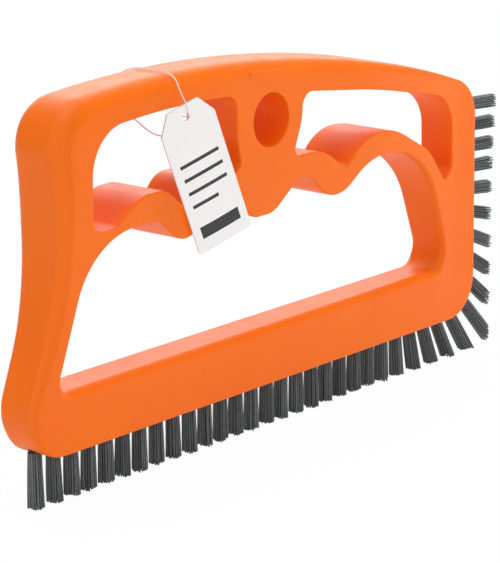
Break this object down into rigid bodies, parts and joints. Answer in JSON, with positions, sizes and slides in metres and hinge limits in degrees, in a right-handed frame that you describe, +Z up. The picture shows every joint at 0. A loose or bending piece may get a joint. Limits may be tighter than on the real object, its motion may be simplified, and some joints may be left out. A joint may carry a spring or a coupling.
{
  "type": "grout brush",
  "caption": "Narrow grout brush with a windowed finger-grip handle, one row of stiff bristle tufts along its foot and nose, a hanging hole and a card tag on a string.",
  "frame": {"origin": "on the plane of the bristle tips, below the middle of the brush without its tag's string", "axes": "+X towards the bristled nose, -Y the face that carries the tag, +Z up from the bristle tips to the grip"},
  "size_m": [0.2032, 0.025, 0.1067],
  "materials": {
    "handle_plastic": "satin moulded",
    "bristles": "drawn filament",
    "anchor_wire": "flattened wire",
    "tag_card": "plain card",
    "tag_string": "thin twisted string"
  },
  "bodies": {
    "brush": {"handle": "handle_plastic", "tuft_anchors": "anchor_wire", "tuft_01": "bristles", "tuft_02": "bristles", "tuft_03": "bristles", "tuft_04": "bristles", "tuft_05": "bristles", "tuft_06": "bristles", "tuft_07": "bristles", "tuft_08": "bristles", "tuft_09": "bristles", "tuft_10": "bristles", "tuft_11": "bristles", "tuft_12": "bristles", "tuft_13": "bristles", "tuft_14": "bristles", "tuft_15": "bristles", "tuft_16": "bristles", "tuft_17": "bristles", "tuft_18": "bristles", "tuft_19": "bristles", "tuft_20": "bristles", "tuft_21": "bristles", "tuft_22": "bristles", "tuft_23": "bristles", "tuft_24": "bristles", "tuft_25": "bristles", "tuft_26": "bristles", "tuft_27": "bristles", "tuft_28": "bristles", "tuft_29": "bristles", "tuft_30": "bristles", "tuft_31": "bristles", "tuft_32": "bristles", "tuft_33": "bristles", "tuft_34": "bristles", "tuft_35": "bristles", "tuft_36": "bristles", "tuft_37": "bristles", "tuft_38": "bristles"},
    "string_loop": {"tag_string": "tag_string"},
    "tag": {"swing_tag": "tag_card"}
  },
  "joints": [
    {"name": "loop_slide", "type": "slide", "parent": "brush", "child": "string_loop", "axis": [1, 0, 0], "range_m": [0, 0.012]},
    {"name": "tag_swing", "type": "hinge", "parent": "string_loop", "child": "tag", "pos_m": [-0.0497, -0.01229, 0.0957], "axis": [0, 1, 0], "range_deg": [-15, 40]}
  ]
}
